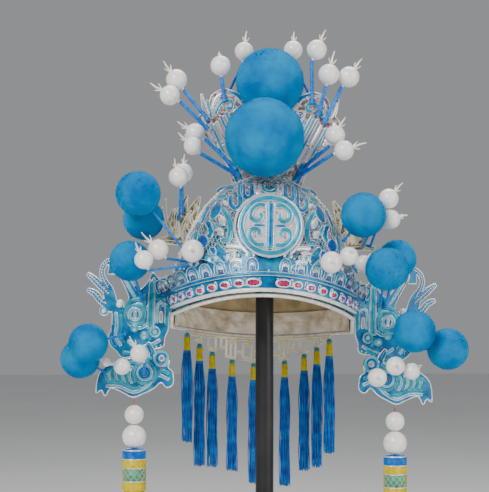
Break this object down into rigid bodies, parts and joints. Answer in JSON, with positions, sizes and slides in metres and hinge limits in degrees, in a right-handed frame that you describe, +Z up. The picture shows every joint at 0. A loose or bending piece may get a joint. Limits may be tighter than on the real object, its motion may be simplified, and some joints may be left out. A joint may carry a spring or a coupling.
{
  "type": "opera headdress on a stand",
  "caption": "Domed ceremonial headdress with pierced crest and wings, pompoms, pearls on stems, fretwork and silk tassels, held on a plain round-footed post.",
  "frame": {"origin": "middle of the underside of the stand's foot, on the floor", "axes": "+Z up, the headdress's front faces -Y, +X is to the right as seen from the front"},
  "size_m": [0.4067, 0.22, 0.684],
  "materials": {
    "stand_black": "satin",
    "silver": "bright, with fine filigree",
    "champagne": "pale, worn",
    "lacquer_blue": "blue lacquer edged with silver",
    "stone_red": "cut and polished",
    "pompom_blue": "dense velvet-like pile",
    "pearl": "pearl",
    "wound_blue": "wire wound with silk",
    "silk_blue": "twisted silk",
    "thread_red": "thin waxed thread"
  },
  "bodies": {
    "root": {"band_stones": "stone_red", "cap_lining": "champagne", "cap_shell": "silver", "cap_tracery": "lacquer_blue", "collar_left": "lacquer_blue", "collar_right": "lacquer_blue", "crest_plate": "silver", "finial_left": "silver", "finial_right": "silver", "front_band": "lacquer_blue", "pearls_crest_left": "pearl", "pearls_crest_mid": "pearl", "pearls_crest_right": "pearl", "pearls_ear_left": "pearl", "pearls_ear_right": "pearl", "pearls_side_left": "pearl", "pearls_side_right": "pearl", "pompom_crest_lower": "pompom_blue", "pompom_crest_upper": "pompom_blue", "pompom_left_1": "pompom_blue", "pompom_left_2": "pompom_blue", "pompom_left_3": "pompom_blue", "pompom_left_4": "pompom_blue", "pompom_left_5": "pompom_blue", "pompom_right_1": "pompom_blue", "pompom_right_2": "pompom_blue", "pompom_right_3": "pompom_blue", "pompom_right_4": "pompom_blue", "pompom_right_5": "pompom_blue", "rear_fret": "champagne", "rear_tassel_1": "silk_blue", "rear_tassel_2": "silk_blue", "rear_tassel_3": "silk_blue", "rear_tassel_4": "silk_blue", "rear_tassel_5": "silk_blue", "rear_tassel_6": "silk_blue", "rear_tassel_7": "silk_blue", "rear_tassel_8": "silk_blue", "rear_tassel_9": "silk_blue", "rim_piping": "silver", "roundel": "lacquer_blue", "side_tassel_left": "silk_blue", "side_tassel_right": "silk_blue", "stand_foot": "stand_black", "stand_pad": "stand_black", "stand_post": "stand_black", "stems_crest_left": "wound_blue", "stems_crest_mid": "wound_blue", "stems_crest_right": "wound_blue", "stems_ear_left": "wound_blue", "stems_ear_right": "wound_blue", "stems_side_left": "wound_blue", "stems_side_right": "wound_blue", "strand_pearls_left": "pearl", "strand_pearls_right": "pearl", "strand_thread_left": "thread_red", "strand_thread_right": "thread_red", "wing_left": "lacquer_blue", "wing_right": "lacquer_blue"}
  },
  "joints": []
}
